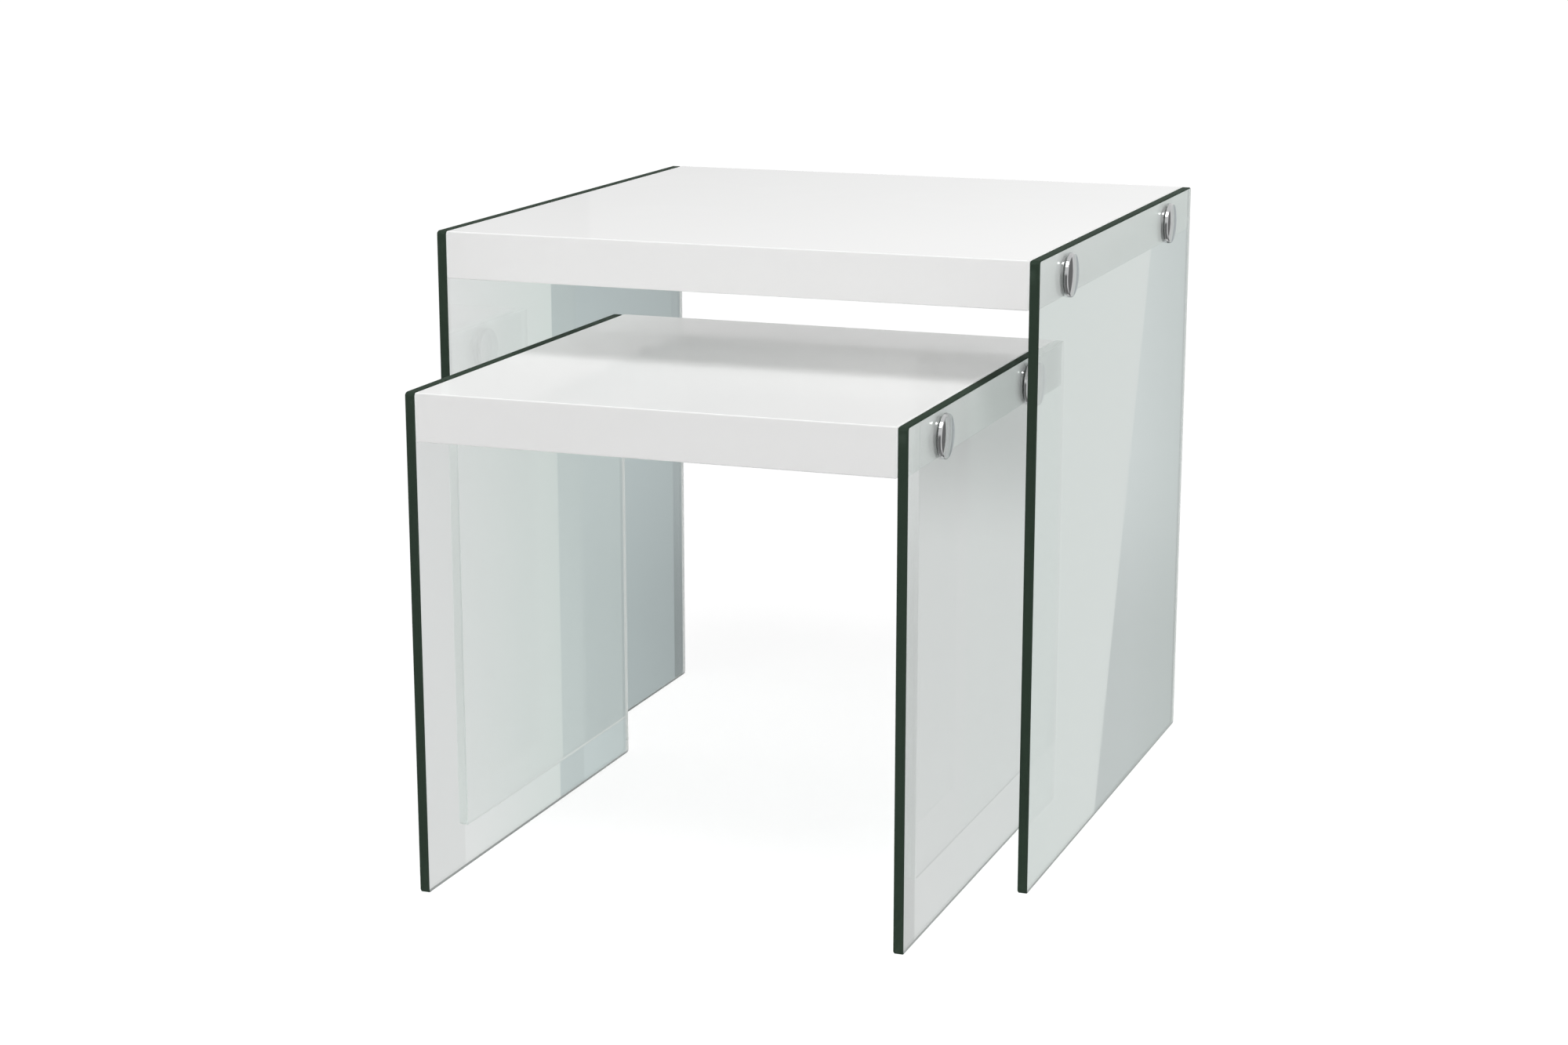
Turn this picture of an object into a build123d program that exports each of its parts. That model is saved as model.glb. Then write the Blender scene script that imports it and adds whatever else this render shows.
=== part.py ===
from build123d import *
from typing import NamedTuple
import os

# Nest of two side tables in millimetres: X is the width, Y runs from front to back, Z is up.
# The origin is on the floor, in the middle of the nest's footprint with the small table drawn out.

# Large table, over its glass legs
large_width = 500.0
large_depth = 500.0
large_height = 500.0

# Small table, sized by the room it needs to slide under the large one
nest_side_gap = 42.0
nest_top_gap = 62.0
nest_depth_step = 100.0
pulled_out = 160.0

# Glass legs
glass_thickness = 8.0
glass_corner_radius = 3.0
glass_arris = 0.8

# Hollow-core lacquered tops
top_thickness = 38.0
skin_thickness = 5.0
lipping_width = 30.0
side_rail_width = 45.0
rib_width = 30.0
edge_radius = 2.0

# Disc fixings
fixing_inset = 85.0
fixing_below_middle = 3.0
cap_diameter = 35.0
cap_rim = 2.8
cap_taper = 0.5
cap_dome = 1.5
cap_edge_radius = 1.2
cap_foot_radius = 0.4
stud_diameter = 6.0
stud_end_gap = 2.0
boss_wall = 2.0
boss_relief = 1.0
sleeve_wall = 1.8
insert_wall = 2.0
insert_length = 20.0
drill_overrun = 4.0
gasket_thickness = 0.5
gasket_setback = 2.5
inner_gasket_diameter = 24.0
fit_gap = 0.1

# Sizes that follow from the ones above
rail_height = top_thickness - 2 * skin_thickness
fixing_drop = top_thickness / 2 + fixing_below_middle
stud_bore = stud_diameter + 2 * fit_gap
boss_diameter = stud_bore + 2 * boss_wall
boss_bore = boss_diameter + 2 * fit_gap
sleeve_diameter = boss_bore + 2 * sleeve_wall
glass_hole = sleeve_diameter + 2 * fit_gap
insert_diameter = stud_bore + 2 * insert_wall
footprint_depth = large_depth + pulled_out
sides = {"left": -1, "right": 1}


class Table(NamedTuple):
    """One table of the nest, by its outer size over the glass and the place of its front edge."""
    name: str
    width: float
    depth: float
    height: float
    front: float

    @property
    def middle(self):
        return self.front + self.depth / 2

    @property
    def underside(self):
        return self.height - top_thickness

    @property
    def top_width(self):
        return self.width - 2 * (glass_thickness + gasket_thickness)

    @property
    def fixing_rows(self):
        return {"front": self.front + fixing_inset, "back": self.front + self.depth - fixing_inset}

    def fixing_plane(self, row, side):
        """Plane on a glass leg's outer face, centred on one fixing and facing outwards."""
        centre = (sides[side] * self.width / 2, self.fixing_rows[row], self.height - fixing_drop)
        return Plane(origin=centre, x_dir=(0, 1, 0), z_dir=(sides[side], 0, 0))

    def fixing_planes(self, *chosen_sides):
        return [self.fixing_plane(row, side) for side in chosen_sides for row in self.fixing_rows]


def save(piece, table, name):
    piece.part.label = f"{table.name}_{name}"
    export_step(piece.part, f"parts/{piece.part.label}.step")


# Glass leg: a drilled sheet with dubbed corners and a polished arris on every edge
def make_glass(table, side):
    outer_face = sides[side] * table.width / 2
    low_face = min(outer_face, outer_face - sides[side] * glass_thickness)
    with BuildPart() as glass:
        with BuildSketch(Plane.YZ.offset(low_face)) as outline:
            with Locations((table.middle, table.height / 2)):
                Rectangle(table.depth, table.height)
            fillet(outline.vertices(), glass_corner_radius)
            with Locations(*[(y, table.height - fixing_drop) for y in table.fixing_rows.values()]):
                Circle(glass_hole / 2, mode=Mode.SUBTRACT)
        extrude(amount=glass_thickness)
        chamfer(glass.faces().filter_by(Axis.X).edges(), glass_arris)
    save(glass, table, f"{side}_glass")


# Upper or lower board of the top, eased along its outer edges
def make_skin(table, name, base, outer_face):
    with BuildPart() as skin:
        with BuildSketch(Plane.XY.offset(base)):
            with Locations((0, table.middle)):
                Rectangle(table.top_width, table.depth)
        extrude(amount=skin_thickness)
        outer_edges = skin.faces().sort_by(Axis.Z)[outer_face].edges()
        fillet(skin.edges().filter_by(Axis.Z) + outer_edges, edge_radius)
    save(skin, table, name)


# Front or back lipping, as wide as the top, with its outer corners eased like the skins
def make_lipping(table, name, middle, outer_row):
    with BuildPart() as lipping:
        with BuildSketch(Plane.XY.offset(table.underside + skin_thickness)):
            with Locations((0, middle)):
                Rectangle(table.top_width, lipping_width)
        extrude(amount=rail_height)
        fillet(lipping.edges().filter_by(Axis.Z).group_by(Axis.Y)[outer_row], edge_radius)
    save(lipping, table, name)


# Side rail between the lippings, drilled from outside for its two inserts
def make_side_rail(table, side):
    middle = sides[side] * (table.top_width - side_rail_width) / 2
    outer_face = -(glass_thickness + gasket_thickness)
    with BuildPart() as rail:
        with BuildSketch(Plane.XY.offset(table.underside + skin_thickness)):
            with Locations((middle, table.middle)):
                Rectangle(side_rail_width, table.depth - 2 * lipping_width)
        extrude(amount=rail_height)
        for plane in table.fixing_planes(side):
            with BuildSketch(plane.offset(outer_face)):
                Circle(insert_diameter / 2 + fit_gap)
            extrude(amount=-(insert_length + drill_overrun), mode=Mode.SUBTRACT)
    save(rail, table, f"{side}_rail")


# Core rib, one of two that share the hollow between the side rails evenly
def make_rib(table, side):
    hollow = table.top_width - 2 * side_rail_width
    cell = (hollow - 2 * rib_width) / 3
    with BuildPart() as rib:
        with BuildSketch(Plane.XY.offset(table.underside + skin_thickness)):
            with Locations((sides[side] * (cell + rib_width) / 2, table.middle)):
                Rectangle(rib_width, table.depth - 2 * lipping_width)
        extrude(amount=rail_height)
    save(rib, table, f"{side}_rib")


# Chrome cap: a thin domed disc with a tapered rim and a tapped boss that reaches into the glass
def make_cap(table, row, side):
    face = table.fixing_plane(row, side)
    section = Plane(origin=face.origin, x_dir=face.x_dir, z_dir=face.x_dir.cross(face.z_dir))
    boss_end = boss_relief - glass_thickness
    rim_top = gasket_thickness + cap_rim
    shoulder = (cap_diameter / 2 - cap_taper, rim_top)
    with BuildPart() as cap:
        with BuildSketch(section) as profile:
            with BuildLine():
                dome = TangentArc((0, rim_top + cap_dome), shoulder, tangent=(1, 0))
                Polyline(
                    dome @ 1,
                    (cap_diameter / 2, gasket_thickness),
                    (boss_diameter / 2, gasket_thickness),
                    (boss_diameter / 2, boss_end),
                    (stud_bore / 2, boss_end),
                    (stud_bore / 2, gasket_thickness),
                    (0, gasket_thickness),
                    dome @ 0,
                )
            make_face()
            fillet(profile.vertices().sort_by(Axis.X)[-2], cap_edge_radius)
            fillet(profile.vertices().sort_by(Axis.X)[-1], cap_foot_radius)
        revolve(axis=Axis(face.origin, face.z_dir))
    save(cap, table, f"{row}_{side}_cap")


# Round pieces on the four fixing axes, from one depth behind the glass's outer face to another
def make_fixing_group(table, name, start, end, diameter, bore=None):
    with BuildPart() as group:
        for plane in table.fixing_planes(*sides):
            with BuildSketch(plane.offset(start)):
                Circle(diameter / 2)
                if bore:
                    Circle(bore / 2, mode=Mode.SUBTRACT)
            extrude(amount=end - start)
    save(group, table, name)


def make_fixings(table):
    glass_back = -glass_thickness
    rail_face = glass_back - gasket_thickness
    insert_end = rail_face - insert_length
    outer_gasket_diameter = cap_diameter - 2 * gasket_setback
    for side in sides:
        for row in table.fixing_rows:
            make_cap(table, row, side)
    make_fixing_group(table, "outer_gaskets", 0, gasket_thickness, outer_gasket_diameter, boss_bore)
    make_fixing_group(table, "sleeves", glass_back, 0, sleeve_diameter, boss_bore)
    make_fixing_group(table, "inner_gaskets", rail_face, glass_back, inner_gasket_diameter, stud_bore)
    make_fixing_group(table, "inserts", insert_end, rail_face, insert_diameter, stud_bore)
    make_fixing_group(table, "studs", insert_end + stud_end_gap, gasket_thickness, stud_diameter)


def make_top(table):
    make_skin(table, "top_skin", table.height - skin_thickness, -1)
    make_skin(table, "bottom_skin", table.underside, 0)
    make_lipping(table, "front_rail", table.front + lipping_width / 2, 0)
    make_lipping(table, "back_rail", table.front + table.depth - lipping_width / 2, -1)
    for side in sides:
        make_side_rail(table, side)
        make_rib(table, side)


large = Table("large", large_width, large_depth, large_height, footprint_depth / 2 - large_depth)
small = Table(
    "small",
    large_width - 2 * (glass_thickness + nest_side_gap),
    large_depth - nest_depth_step,
    large.underside - nest_top_gap,
    large.front - pulled_out,
)

os.makedirs("parts", exist_ok=True)
for table in (large, small):
    make_top(table)
    for side in sides:
        make_glass(table, side)
    make_fixings(table)
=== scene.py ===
# %% [markdown]
# # A nest of two glass-legged side tables
# The nest is a large table with a smaller one drawn out from under it. Each table is a thick white
# lacquered top between two sheets of glass, and chrome discs hold the glass to the top.
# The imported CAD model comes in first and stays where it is. It gives every size and place of the tables,
# so that nothing on them has to be fitted by eye. What is left to do here is the finish of every piece,
# one smooth body for each lacquered top, and the studio round them.

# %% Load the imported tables
import math

import bmesh
import bpy
from mathutils import Euler, Matrix, Vector


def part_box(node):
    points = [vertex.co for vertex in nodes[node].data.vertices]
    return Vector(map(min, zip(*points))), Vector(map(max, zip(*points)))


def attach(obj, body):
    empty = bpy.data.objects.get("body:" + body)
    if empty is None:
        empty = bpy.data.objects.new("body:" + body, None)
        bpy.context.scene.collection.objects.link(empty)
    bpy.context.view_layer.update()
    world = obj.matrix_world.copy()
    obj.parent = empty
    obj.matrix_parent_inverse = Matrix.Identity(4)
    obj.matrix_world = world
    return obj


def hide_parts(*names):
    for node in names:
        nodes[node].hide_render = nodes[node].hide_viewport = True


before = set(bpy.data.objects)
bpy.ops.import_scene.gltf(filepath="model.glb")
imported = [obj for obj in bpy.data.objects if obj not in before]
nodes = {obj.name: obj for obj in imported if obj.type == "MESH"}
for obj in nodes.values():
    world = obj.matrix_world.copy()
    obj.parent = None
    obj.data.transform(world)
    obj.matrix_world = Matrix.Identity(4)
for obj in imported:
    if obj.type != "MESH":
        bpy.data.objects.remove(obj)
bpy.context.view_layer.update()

# %% [markdown]
# ## Shader sums as Python sums
# A finish is a tree of shader nodes, and much of it is plain arithmetic. Math nodes that are placed and
# wired one by one hide the sum they make. So a small class wraps a node's output and lets Python's own
# signs add the Math nodes. The reflected forms make sums such as 1 - mask work, where the number comes
# first.

# %% A wire is one output of a node
class Wire:
    """One output of a node, which takes part in sums as a number does."""

    def __init__(self, recipe, socket):
        self.recipe = recipe
        self.socket = socket

    def combine(self, operation, first, second):
        return self.recipe.node("Math", {"operation": operation}, {0: first, 1: second})

    def __add__(self, other):
        return self.combine("ADD", self, other)

    def __sub__(self, other):
        return self.combine("SUBTRACT", self, other)

    def __rsub__(self, other):
        return self.combine("SUBTRACT", other, self)

    def __mul__(self, other):
        return self.combine("MULTIPLY", self, other)

    def __lt__(self, other):
        return self.combine("LESS_THAN", self, other)

    def larger(self, other):
        return self.combine("MAXIMUM", self, other)

    __radd__ = __add__
    __rmul__ = __mul__


# %% [markdown]
# ## One method for every other node
# Textures, mixes and shaders could each get a function of their own, but they are all made in the same
# three steps: add the node, choose its settings, fill its sockets. One method does that for any type of
# node. The few short methods after it only name what is used again and again.

# %% A recipe adds the nodes
class Recipe:
    """The node tree of a material or of the world."""

    def __init__(self, owner):
        owner.use_nodes = True
        self.owner = owner
        self.tree = owner.node_tree
        self.tree.nodes.clear()

    def node(self, kind, settings=None, sockets=None, output=0):
        made = self.tree.nodes.new("ShaderNode" + kind)
        for name, value in (settings or {}).items():
            setattr(made, name, value)
        for name, value in (sockets or {}).items():
            if isinstance(value, Wire):
                self.tree.links.new(value.socket, made.inputs[name])
            else:
                made.inputs[name].default_value = value
        return Wire(self, made.outputs[output]) if len(made.outputs) else None

    def place(self):
        return self.node("TexCoord", output="Object")

    def along(self, vector, axis):
        return self.node("SeparateXYZ", sockets={"Vector": vector}, output=axis)

    def noise(self, vector, scale, detail=2.0, roughness=0.5):
        values = {"Vector": vector, "Scale": scale, "Detail": detail, "Roughness": roughness}
        return self.node("TexNoise", sockets=values)

    def fade(self, value, start, end):
        """0 below start, 1 above end and smooth between them."""
        settings = {"interpolation_type": "SMOOTHSTEP"}
        return self.node("MapRange", settings, {"Value": value, "From Min": start, "From Max": end})

    def mix_colours(self, share, first, second):
        return self.node("Mix", {"data_type": "RGBA"}, {0: share, 6: first, 7: second}, output=2)

    def bump(self, height, depth):
        return self.node("Bump", sockets={"Height": height, "Distance": depth, "Strength": 1.0})

    def close(self, **ends):
        """Wires what the material ends in, and returns the material."""
        self.node("OutputMaterial", sockets=ends)
        return self.owner


# %% [markdown]
# ## White gloss lacquer
# The tops are sprayed with several coats of white lacquer and buffed. A close look shows three things: a
# faint orange peel that makes reflections tremble, a dull haze where the top was wiped, and a white that
# is never quite even. Each is a noise of its own size. The gloss is the shader's own reflection and not a
# clear coat above it, because the orange peel has to bend that reflection.

# %% Lacquer
millimetre = 0.001
finishes = {}


def new_finish(name):
    return Recipe(bpy.data.materials.new(name))


def keep_finish(slot, material):
    """Files a material under the name of the slot that it fills."""
    finishes[slot] = material
    print(f"{slot}: {material.name}, {len(material.node_tree.nodes)} nodes")


def make_lacquer():
    finish = new_finish("white_lacquer")
    place = finish.place()
    peel = finish.noise(place, scale=420.0, detail=1.0)
    haze = finish.fade(finish.noise(place, scale=9.0, detail=4.0, roughness=0.6), 0.35, 0.75)
    cloud = finish.noise(place, scale=3.0)
    white = finish.mix_colours(cloud, (0.88, 0.88, 0.875, 1.0), (0.905, 0.905, 0.90, 1.0))
    surface = finish.node("BsdfPrincipled", sockets={
        "Base Color": white,
        "Roughness": 0.05 + 0.04 * haze,
        "IOR": 1.5,
        "Normal": finish.bump(peel, depth=0.004 * millimetre),
    })
    return finish.close(Surface=surface)


keep_finish("lacquer", make_lacquer())

# %% [markdown]
# ## Faces of the glass
# The legs are plain float glass with polished faces. A face is a glass shader with a trace of wiping
# marks in its roughness. Clear glass alone looks too empty when one looks along a sheet, where a real one
# carries a thin greyish film of dust and haze. Layer Weight gives that slant, and a small share of a pale
# plain surface is mixed in by it, on the outside of the sheet only.

# %% Glass faces
glass_index = 1.52
film_share = 0.12


def grey(level):
    return (level, level, level, 1.0)


def glass_faces(finish, outer_face):
    wipe = finish.fade(finish.noise(finish.place(), scale=14.0, detail=5.0, roughness=0.65), 0.5, 0.8)
    polish = 0.006 + 0.010 * wipe
    clear = finish.node("BsdfPrincipled", sockets={
        "Base Color": grey(1.0),
        "Roughness": polish,
        "IOR": glass_index,
        "Transmission Weight": 1.0,
    })
    film = finish.node("BsdfPrincipled", sockets={
        "Base Color": (0.80, 0.84, 0.825, 1.0),
        "Roughness": polish,
        "IOR": glass_index,
    })
    slant = finish.node("LayerWeight", sockets={"Blend": 0.5}, output="Facing")
    milk = finish.fade(slant, 0.25, 0.62) * outer_face
    return finish.node("MixShader", sockets={0: film_share * milk, 1: clear, 2: film})


# %% [markdown]
# ## Edges of the glass
# Float glass is dark green through its edge, because light that enters there runs a long way through the
# sheet. A glass shader with green inside could show that by itself, but such light is mirrored many times
# on its way and leaves a grainy picture. Here a matt green surface lies on the edges instead. Every sheet
# stands across X, so the direction of the surface tells an edge from a face.
# Light Path settles how dark an edge is. It is dark when looked at straight or through its own sheet, and
# pale in a reflection or through another sheet, where a real edge fades too. Lamps shine through the
# sheets with a slight loss, and a weak green absorption inside tints what is seen through them.

# %% Glass
edge_dark = (0.034, 0.052, 0.038, 1.0)
edge_pale = (0.90, 0.94, 0.92, 1.0)
first_crossing = 1.5


def rays(recipe, *names):
    """1 for a ray of one of these kinds and 0 for any other."""
    kinds = [recipe.node("LightPath", output=f"Is {name} Ray") for name in names]
    any_kind = kinds[0]
    for kind in kinds[1:]:
        any_kind = any_kind.larger(kind)
    return any_kind


def make_glass():
    finish = new_finish("clear_float_glass")
    normal = finish.node("NewGeometry", output="Normal")
    inside = finish.node("NewGeometry", output="Backfacing")
    across = finish.along(normal, "X")
    upward = finish.along(normal, "Z")
    # A face looks along X, so the square of that number is 1 there and 0 on an edge, with the arris between.
    edge = 1.0 - finish.fade(across * across, 0.6, 0.95)
    faces = glass_faces(finish, (1.0 - edge) * (1.0 - inside))
    straight = rays(finish, "Camera")
    own_sheet = inside * (finish.node("LightPath", output="Transmission Depth") < first_crossing)
    ground = finish.node("BsdfPrincipled", sockets={
        "Base Color": finish.mix_colours(straight + own_sheet, edge_pale, edge_dark),
        "Roughness": 0.35,
        "Specular IOR Level": 0.0,
    })
    # The green hides nearly all of the glass behind it, and less when it is met from inside its own sheet.
    cover = edge * (0.96 - 0.02 * straight - 0.36 * own_sheet)
    sheet = finish.node("MixShader", sockets={0: cover, 1: faces, 2: ground})
    passing = finish.node("BsdfTransparent", sockets={"Color": (0.87, 0.89, 0.88, 1.0)})
    # From inside, a ray stops at the top and bottom edges of its own sheet and mostly passes upright ones.
    stopped = own_sheet * (0.25 + 0.75 * upward * upward)
    let_through = rays(finish, "Shadow").larger(edge * inside * (1.0 - stopped))
    surface = finish.node("MixShader", sockets={0: let_through, 1: sheet, 2: passing})
    body = finish.node("VolumeAbsorption", sockets={"Color": (0.15, 0.50, 0.40, 1.0), "Density": 5.0})
    return finish.close(Surface=surface, Volume=body)


keep_finish("glass", make_glass())

# %% [markdown]
# ## Chrome
# The discs are turned and then plated with polished chrome, so they are nearly a mirror. What keeps them
# from looking drawn is small: hairlines left by polishing, and a faint film that dulls the mirror in
# patches. The hairlines are a very fine noise as bump, and the film changes both colour and roughness.

# %% Chrome
def make_chrome():
    finish = new_finish("polished_chrome")
    place = finish.place()
    hairlines = finish.noise(place, scale=2600.0, detail=3.0)
    film = finish.fade(finish.noise(place, scale=160.0, detail=3.0), 0.4, 0.8)
    colour = finish.mix_colours(film, (0.63, 0.635, 0.64, 1.0), (0.58, 0.585, 0.59, 1.0))
    surface = finish.node("BsdfPrincipled", sockets={
        "Base Color": colour,
        "Metallic": 1.0,
        "Roughness": 0.045 + 0.05 * film,
        "Normal": finish.bump(hairlines, depth=0.0008 * millimetre),
    })
    return finish.close(Surface=surface)


keep_finish("chrome", make_chrome())

# %% [markdown]
# ## Threaded steel and brass
# Behind each disc a zinc-plated steel stud runs through the glass into a brass insert in the top. Both
# are threaded. They show only when a table is taken apart, so the CAD solids stay plain cylinders and a
# Wave texture along X, the axis of every fitting, cuts the thread as bump. At scale 1 that texture has a
# band every pi / 10 units, and the spacing over the pitch gives the scale.

# %% Threaded metals
band_spacing = math.pi / 10


def make_threaded(name, light, dark, pitch):
    finish = new_finish(name)
    place = finish.place()
    turns = {"wave_type": "BANDS", "bands_direction": "X", "wave_profile": "SIN"}
    thread = finish.node("TexWave", turns, {"Vector": place, "Scale": band_spacing / pitch})
    tarnish = finish.fade(finish.noise(place, scale=220.0, detail=4.0), 0.4, 0.75)
    surface = finish.node("BsdfPrincipled", sockets={
        "Base Color": finish.mix_colours(tarnish, light, dark),
        "Metallic": 1.0,
        "Roughness": 0.22 + 0.2 * tarnish,
        "Normal": finish.bump(thread, depth=0.3 * pitch),
    })
    return finish.close(Surface=surface)


keep_finish("steel", make_threaded(
    "zinc_plated_steel",
    light=(0.62, 0.63, 0.64, 1.0),
    dark=(0.45, 0.46, 0.47, 1.0),
    pitch=1.0 * millimetre,
))
keep_finish("brass", make_threaded(
    "turned_brass",
    light=(0.75, 0.56, 0.26, 1.0),
    dark=(0.52, 0.36, 0.15, 1.0),
    pitch=1.5 * millimetre,
))

# %% [markdown]
# ## Nylon and clear vinyl
# A nylon sleeve lines each hole, and thin vinyl washers lie on both faces of the glass, so that no metal
# touches it. Moulded plastic shows faint flow marks in colour and shine. One recipe serves both, and the
# washers differ from the sleeves only in letting light through.

# %% Plastics
def make_plastic(name, light, dark, roughness, clearness):
    finish = new_finish(name)
    flow = finish.noise(finish.place(), scale=500.0, detail=3.0)
    surface = finish.node("BsdfPrincipled", sockets={
        "Base Color": finish.mix_colours(flow, light, dark),
        "Roughness": roughness + 0.1 * flow,
        "Transmission Weight": clearness,
        "Normal": finish.bump(flow, depth=0.01 * millimetre),
    })
    return finish.close(Surface=surface)


keep_finish("nylon", make_plastic(
    "white_nylon",
    light=(0.78, 0.77, 0.73, 1.0),
    dark=(0.70, 0.69, 0.65, 1.0),
    roughness=0.4,
    clearness=0.0,
))
keep_finish("gasket", make_plastic(
    "clear_vinyl",
    light=(0.92, 0.94, 0.93, 1.0),
    dark=(0.86, 0.89, 0.88, 1.0),
    roughness=0.25,
    clearness=0.8,
))

# %% [markdown]
# ## Raw fibreboard
# The ribs inside the tops are bare strips of fibreboard, which no one sees until a top is cut open.
# Pressed fibres give a fine two-tone brown with a few dark flecks of bark, and a rough surface. Fine
# noise makes the fibres, and the highest peaks of a coarser one make the flecks.

# %% Fibreboard
def make_fibreboard():
    finish = new_finish("raw_fibreboard")
    place = finish.place()
    fibres = finish.noise(place, scale=900.0, detail=5.0, roughness=0.7)
    flecks = finish.fade(finish.noise(place, scale=260.0), 0.62, 0.7)
    brown = finish.mix_colours(fibres, (0.36, 0.25, 0.15, 1.0), (0.56, 0.42, 0.28, 1.0))
    surface = finish.node("BsdfPrincipled", sockets={
        "Base Color": finish.mix_colours(flecks, brown, (0.22, 0.14, 0.08, 1.0)),
        "Roughness": 0.8 + 0.15 * fibres,
        "Normal": finish.bump(fibres, depth=0.15 * millimetre),
    })
    return finish.close(Surface=surface)


keep_finish("core", make_fibreboard())

# %% [markdown]
# ## A finish for every CAD node
# Every CAD node already carries the name of its material slot in model.glb. One table from slot to
# finish therefore dresses all of them, hidden ones too, and no node has to be named here.

# %% Dress the CAD nodes
for node in nodes.values():
    for material_slot in node.material_slots:
        material_slot.material = finishes[material_slot.material.name.split(".")[0]]
print("Dressed:", len(nodes), "nodes with", len(finishes), "finishes")

# %% [markdown]
# ## The lacquered tops
# A top is glued up from six boards, but lacquer fills every joint, so the real one shows a single smooth
# body with eased edges. A copy of the boards would keep their joints. A box as large as the boards
# together, with all its edges rounded by one bevel, is the sprayed body itself, and it takes the boards'
# place. The lacquer leaves the edge crisp: with a wider rounding it would catch the lamps as a bright
# line.

# %% Build the tops
tables = {"large": "large_table", "small": "small_table"}
boards = ("top_skin", "bottom_skin", "front_rail", "back_rail", "left_rail", "right_rail")
edge_radius = 1.0 * millimetre
edge_steps = 5


def corners_of(names):
    boxes = [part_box(name) for name in names]
    low = Vector(min(box[0][axis] for box in boxes) for axis in range(3))
    high = Vector(max(box[1][axis] for box in boxes) for axis in range(3))
    return low, high


def add_piece(name, mesh, finish):
    """Turns a bmesh into an object with one finish, and links it into the scene."""
    data = bpy.data.meshes.new(name)
    mesh.to_mesh(data)
    mesh.free()
    data.materials.append(finish)
    piece = bpy.data.objects.new(name, data)
    bpy.context.collection.objects.link(piece)
    return piece


def make_top(table):
    names = [f"{table}_{board}" for board in boards]
    low, high = corners_of(names)
    mesh = bmesh.new()
    bmesh.ops.create_cube(mesh, size=1.0)
    bmesh.ops.scale(mesh, vec=high - low, verts=mesh.verts)
    bmesh.ops.translate(mesh, vec=(low + high) / 2, verts=mesh.verts)
    rounded = bmesh.ops.bevel(
        mesh, geom=mesh.edges[:], offset=edge_radius, segments=edge_steps, profile=0.5,
        affect="EDGES", material=-1,
    )
    for face in rounded["faces"]:
        face.smooth = True
    top = add_piece(f"{table}_top", mesh, finishes["lacquer"])
    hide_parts(*names)
    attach(top, tables[table])
    print(top.name, [round(length / millimetre, 1) for length in high - low], "mm")


for table in tables:
    make_top(table)

# %% [markdown]
# ## Floor
# Goods like these are photographed on white paper. More light would turn a plain floor white, but it
# would bleach the tables too. So the paper itself knows what looks at it: the camera sees it lifted close
# to white, with a grey share left that takes the tables' soft shadow and fades out further away. Rays
# that only carry light see plain white paper, so that the tables get the glow of a real floor from below.
# Gloss and glass skip the floor and see the room behind it.

# %% Floor
floor_half_size = 15.0
shadow_ends = (0.6, 1.8)
lift_near = 0.76
lift_far = 1.02


def make_paper():
    finish = new_finish("white_paper")
    seen = rays(finish, "Camera", "Glossy", "Transmission")
    reach = finish.node("VectorMath", {"operation": "LENGTH"}, {0: finish.place()}, output="Value")
    far = finish.fade(reach, *shadow_ends)
    tone = finish.mix_colours(far, grey(0.30), grey(0.0))
    paper = finish.node("BsdfDiffuse", sockets={"Color": finish.mix_colours(seen, grey(0.80), tone)})
    lift = finish.node("Emission", sockets={"Color": (lift_near + (lift_far - lift_near) * far) * seen})
    return finish.close(Surface=finish.node("AddShader", sockets={0: paper, 1: lift}))


mesh = bmesh.new()
bmesh.ops.create_grid(mesh, x_segments=1, y_segments=1, size=floor_half_size)
floor = add_piece("floor", mesh, make_paper())
floor.visible_glossy = False
floor.visible_transmission = False
print("Floor:", 2 * floor_half_size, "m square, its shadow fades out between", shadow_ends, "m")

# %% [markdown]
# ## Room
# A pale room lights the tables softly from all sides. One level for all would be too strong as light, or
# too dark as a background. So the world has three: low for rays that carry light, pale for what gloss and
# glass see of it, and white, like the far floor, for the camera in low views that look past the floor's
# end.

# %% Room
room_light = 0.40
room_in_glass = 0.80
room_white = 1.02

world = bpy.data.worlds.new("studio")
bpy.context.scene.world = world
studio = Recipe(world)
mirrored = (room_in_glass - room_light) * rays(studio, "Camera", "Glossy", "Transmission")
looked_at = (room_white - room_in_glass) * rays(studio, "Camera")
background = studio.node("Background", sockets={"Color": room_light + mirrored + looked_at})
studio.node("OutputWorld", sockets={"Surface": background})
print("Room:", room_light, "as light,", room_in_glass, "in gloss and glass,", room_white, "straight")

# %% [markdown]
# ## Lamps
# One large softbox stands high in front and a smaller one on the left. Both are mirrored in the tops,
# where they give the lacquer its shine. The other three only lift what stays too dark, and a mirror image
# of them would show as a hot spot, so gloss and glass don't see them. The fill lamp lights the right
# side, the back lamp the rear faces, and the low one lies right under the large top, where it lights
# nothing but the underside that the small top mirrors.

# %% Lamps
def add_softbox(name, place, target, size, watts, mirrored):
    lamp_data = bpy.data.lights.new(name, "AREA")
    lamp_data.size = size
    lamp_data.energy = watts
    lamp = bpy.data.objects.new(name, lamp_data)
    lamp.location = place
    lamp.rotation_euler = (Vector(target) - Vector(place)).to_track_quat("-Z", "Y").to_euler()
    lamp.visible_camera = False
    lamp.visible_glossy = mirrored
    lamp.visible_transmission = mirrored
    bpy.context.collection.objects.link(lamp)
    print(f"{name}: {watts} W, {size} m wide, mirrored: {mirrored}")


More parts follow.
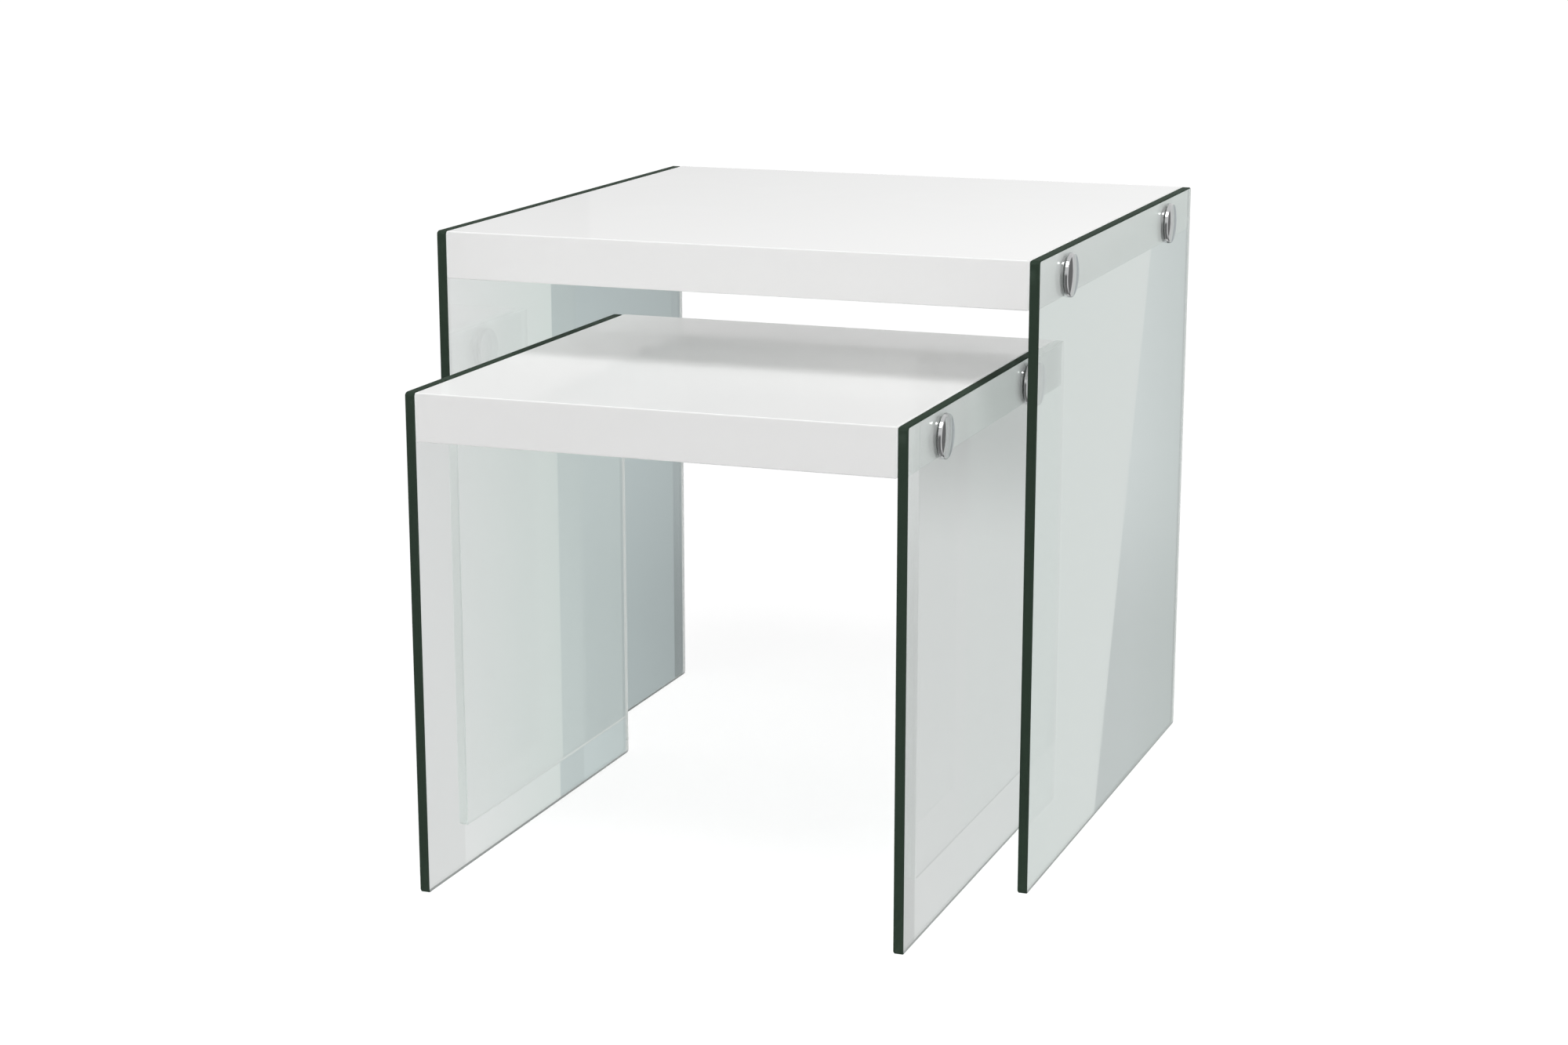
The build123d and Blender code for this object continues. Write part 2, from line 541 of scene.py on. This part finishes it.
# Name, place, aim, width in metres, watts, and whether gloss and glass mirror the lamp
add_softbox("front_softbox", (0.6, -1.5, 3.4), (0.0, 0.0, 0.35), 1.6, 66.0, True)
add_softbox("left_softbox", (-2.2, -0.4, 1.7), (0.0, 0.0, 0.40), 1.0, 16.0, True)
add_softbox("fill_softbox", (1.8, -2.2, 1.6), (0.0, 0.0, 0.35), 0.6, 7.0, False)
add_softbox("back_softbox", (0.0, 2.6, 0.75), (0.0, 0.3, 0.48), 1.0, 17.0, False)
add_softbox("low_softbox", (0.0, 0.08, 0.43), (0.0, 0.08, 0.46), 0.44, 0.10, False)

# %% [markdown]
# ## Cards that only gloss and glass see
# Chrome and glass look like what stands round them, and in an empty white room a chrome disc is white. A
# photographer therefore stands grey cards outside the picture. These cards are paper that glows in its
# own tone, because a lit card would need lamps of its own. They are hidden from the camera and from rays
# that carry light, so they neither show in the picture nor light the tables.

# %% Card paper
def make_card_paper(name, ends, tones, shading):
    """Paper that goes along X from one tone to another, and upwards from one share of it to another."""
    finish = new_finish(name)
    left, right = ends
    low, high, low_share, high_share = shading
    place = finish.place()
    share = finish.node("MapRange", sockets={
        "Value": finish.along(place, "X"),
        "From Min": left,
        "From Max": right,
    })
    tone = finish.mix_colours(share, *tones)
    level = low_share + (high_share - low_share) * finish.fade(finish.along(place, "Z"), low, high)
    light = finish.mix_colours(level, grey(0.0), tone)
    return finish.close(Surface=finish.node("Emission", sockets={"Color": light}))


def hide_card(card):
    for kind in ("camera", "diffuse", "volume_scatter", "shadow"):
        setattr(card, f"visible_{kind}", False)
    print("Card:", card.name)


# %% [markdown]
# ## A row of cards
# The cards stand in rows, end to end, and differ only in their ends, tones and shading. A bar with painted
# fields could do the same, but separate cards are easier to move one by one. A card is a grid turned
# upright, scaled and moved. The shear comes last and tilts it sideways, for a card that leans.

# %% One row of cards
def add_cards(name, distance, heights, slope, cards):
    """A row of cards, each given by its two ends, the tones there and its shading."""
    bottom, top = heights
    for number, (left, right, left_tone, right_tone, shading) in enumerate(cards):
        mesh = bmesh.new()
        bmesh.ops.create_grid(mesh, x_segments=1, y_segments=1, size=0.5)
        bmesh.ops.rotate(mesh, verts=mesh.verts, matrix=Matrix.Rotation(math.pi / 2, 3, "X"))
        bmesh.ops.scale(mesh, verts=mesh.verts, vec=(right - left, 1.0, top - bottom))
        middle = Vector(((left + right) / 2, distance, (bottom + top) / 2))
        bmesh.ops.translate(mesh, verts=mesh.verts, vec=middle)
        bmesh.ops.transform(mesh, verts=mesh.verts, matrix=Matrix.Shear("XY", 4, (slope, 0.0)))
        card_name = f"{name}_{number}"
        paper = make_card_paper(card_name, (left, right), (left_tone, right_tone), shading)
        hide_card(add_piece(card_name, mesh, paper))


# %% [markdown]
# ## Cards behind the tables
# Each glass sheet shows two or three upright fields of grey, where it mirrors the far side of the room or
# lets it through. The lower row of cards gives those fields. One field in the large right sheet has a
# slanting border, so a single card that leans stands just before the row. The upper row is the pale wall
# above, which the upper parts of the sheets show. The cards aren't neutral: glass that mirrors glass turns
# greenish, so three tints go from a faint green to a blue-green.

# %% Card rows
card_distance = 2.0
card_bottom = -2.5
card_top = 0.5
sky_top = 1.4
lean_step = 0.02
lean_slope = 0.072
no_shading = (card_bottom, 0.0, 1.0, 1.0)


def teal(level):
    return (level * 0.93, level, level * 0.97, 1.0)


def deep(level):
    return (level * 0.87, level * 0.99, level, 1.0)


def cool(level):
    return (level * 0.92, level * 0.98, level, 1.0)


# Left end, right end, the tones there, and the shading: two heights and the share of the tone at each
add_cards("back_card", card_distance, (card_bottom, card_top), 0.0, [
    (-1.60, -1.33, grey(0.70), grey(0.71), no_shading),
    (-1.33, -1.153, grey(0.785), teal(0.745), no_shading),
    (-1.153, -1.11, deep(0.555), deep(0.53), (-0.15, 0.12, 1.0, 0.89)),
    (-1.11, -0.948, deep(0.60), deep(0.48), (-0.15, 0.12, 1.0, 0.89)),
    (-0.948, -0.54, deep(0.39), grey(0.66), (-0.45, -0.15, 0.75, 1.0)),
    (-0.54, -0.37, grey(0.69), grey(0.70), (-0.28, -0.06, 1.0, 0.62)),
    (-0.37, -0.12, teal(0.71), grey(0.75), no_shading),
    (-0.12, 0.62, cool(0.60), cool(0.52), (-0.46, -0.08, 0.5, 1.0)),
    (0.62, 1.05, teal(0.72), grey(0.75), no_shading),
])
add_cards("lean_card", card_distance - lean_step, (card_bottom, card_top), lean_slope, [
    (-0.199, -0.02, cool(0.64), cool(0.34), (-0.40, -0.08, 0.68, 1.0)),
])
add_cards("sky_card", card_distance, (card_top, sky_top), 0.0, [
    (-2.40, -1.08, grey(0.64), grey(0.67), no_shading),
    (-1.08, -0.20, grey(0.72), grey(0.90), no_shading),
    (-0.20, 1.60, grey(0.90), grey(0.90), no_shading),
])

# %% [markdown]
# ## Sparkle
# Beside each disc the glass shows a pair of small highlights: a bright lamp mirrored by the disc's
# tapered rim and once more by the glass. The big softboxes are too broad and too dim for that. One small
# bright card gives it, high on the right. Its place follows from the rim: a ray from the camera to the
# rim's taper leaves towards it.

# %% Sparkle card
sparkle_place = (1.55, -0.65, 2.40)
sparkle_half_size = 0.2
sparkle_level = 14.0

sparkle = new_finish("sparkle")
glow = sparkle.node("Emission", sockets={"Color": grey(1.0), "Strength": sparkle_level})
mesh = bmesh.new()
bmesh.ops.create_grid(mesh, x_segments=1, y_segments=1, size=sparkle_half_size)
bmesh.ops.translate(mesh, verts=mesh.verts, vec=sparkle_place)
hide_card(add_piece("sparkle_card", mesh, sparkle.close(Surface=glow)))

# %% [markdown]
# ## Curtain
# The rest of the room, from the right round the front to the left, is what the discs and the sheets
# mirror towards the camera. It is a dark curtain that is light at its left end, past a narrow border on
# the right, and along its top, and those borders are the dark and light bands on the chrome. A wall and a
# floor drawn as one line and spun round the tables make it. The line stops just short of the axis, so that
# no points pile up there. Glass shows the curtain in reflections only, and not through the sheet.

# %% Curtain
curtain_distance = 3.0
curtain_top = 1.2
curtain_start = math.radians(28)
curtain_end = math.radians(270)
curtain_steps = 48
curtain_hole = 0.01
curtain_dark = 0.19
curtain_light = 0.71
top_share = 0.63
left_border = (-3.0, -0.7)
right_border = (2.34, 2.46)
top_border = (0.5, curtain_top)


def make_curtain_cloth():
    cloth = new_finish("curtain")
    place = cloth.place()
    across_room = cloth.along(place, "X")
    left_light = 1.0 - cloth.fade(across_room, *left_border)
    right_light = cloth.fade(across_room, *right_border)
    top_light = cloth.fade(cloth.along(place, "Z"), *top_border)
    lit = left_light.larger(right_light).larger(top_share * top_light)
    tone = curtain_dark + curtain_light * lit
    return cloth.close(Surface=cloth.node("Emission", sockets={"Color": tone}))


mesh = bmesh.new()
middle = mesh.verts.new((0.0, curtain_hole, card_bottom))
foot = mesh.verts.new((0.0, curtain_distance, card_bottom))
head = mesh.verts.new((0.0, curtain_distance, curtain_top))
profile = [middle, foot, head, mesh.edges.new((middle, foot)), mesh.edges.new((foot, head))]
bmesh.ops.rotate(mesh, verts=mesh.verts, matrix=Matrix.Rotation(-curtain_start, 3, "Z"))
bmesh.ops.spin(
    mesh, geom=profile, cent=(0, 0, 0), axis=(0, 0, -1),
    angle=curtain_end - curtain_start, steps=curtain_steps,
)
curtain = add_piece("curtain", mesh, make_curtain_cloth())
hide_card(curtain)
curtain.visible_transmission = False

# %% [markdown]
# ## Camera
# The camera stands to the right of the tables and looks a little down on them. It could be moved about by
# eye until the picture fits, but its place, turn and lens can also be solved from the tables' straight
# edges, whose sizes are known, and that leaves nothing to try out. The small shift of the lens moves the
# frame up without changing the view, as a crop of a larger picture does.

# %% Camera
camera_place = (0.854132, -2.355749, 0.820595)
camera_turn = math.radians(20.279)
camera_dip = math.radians(14.443)

lens_data = bpy.data.cameras.new("camera")
lens_data.sensor_width = 36.0
lens_data.lens = 69.886
lens_data.shift_y = 0.05
camera = bpy.data.objects.new("camera", lens_data)
camera.location = camera_place
camera.rotation_euler = Euler((math.pi / 2 - camera_dip, 0.0, camera_turn))
bpy.context.collection.objects.link(camera)
bpy.context.scene.camera = camera
bpy.context.scene.view_settings.view_transform = "Standard"
print("Camera:", round(camera.location.length, 2), "m from the origin, lens", round(lens_data.lens, 1), "mm")
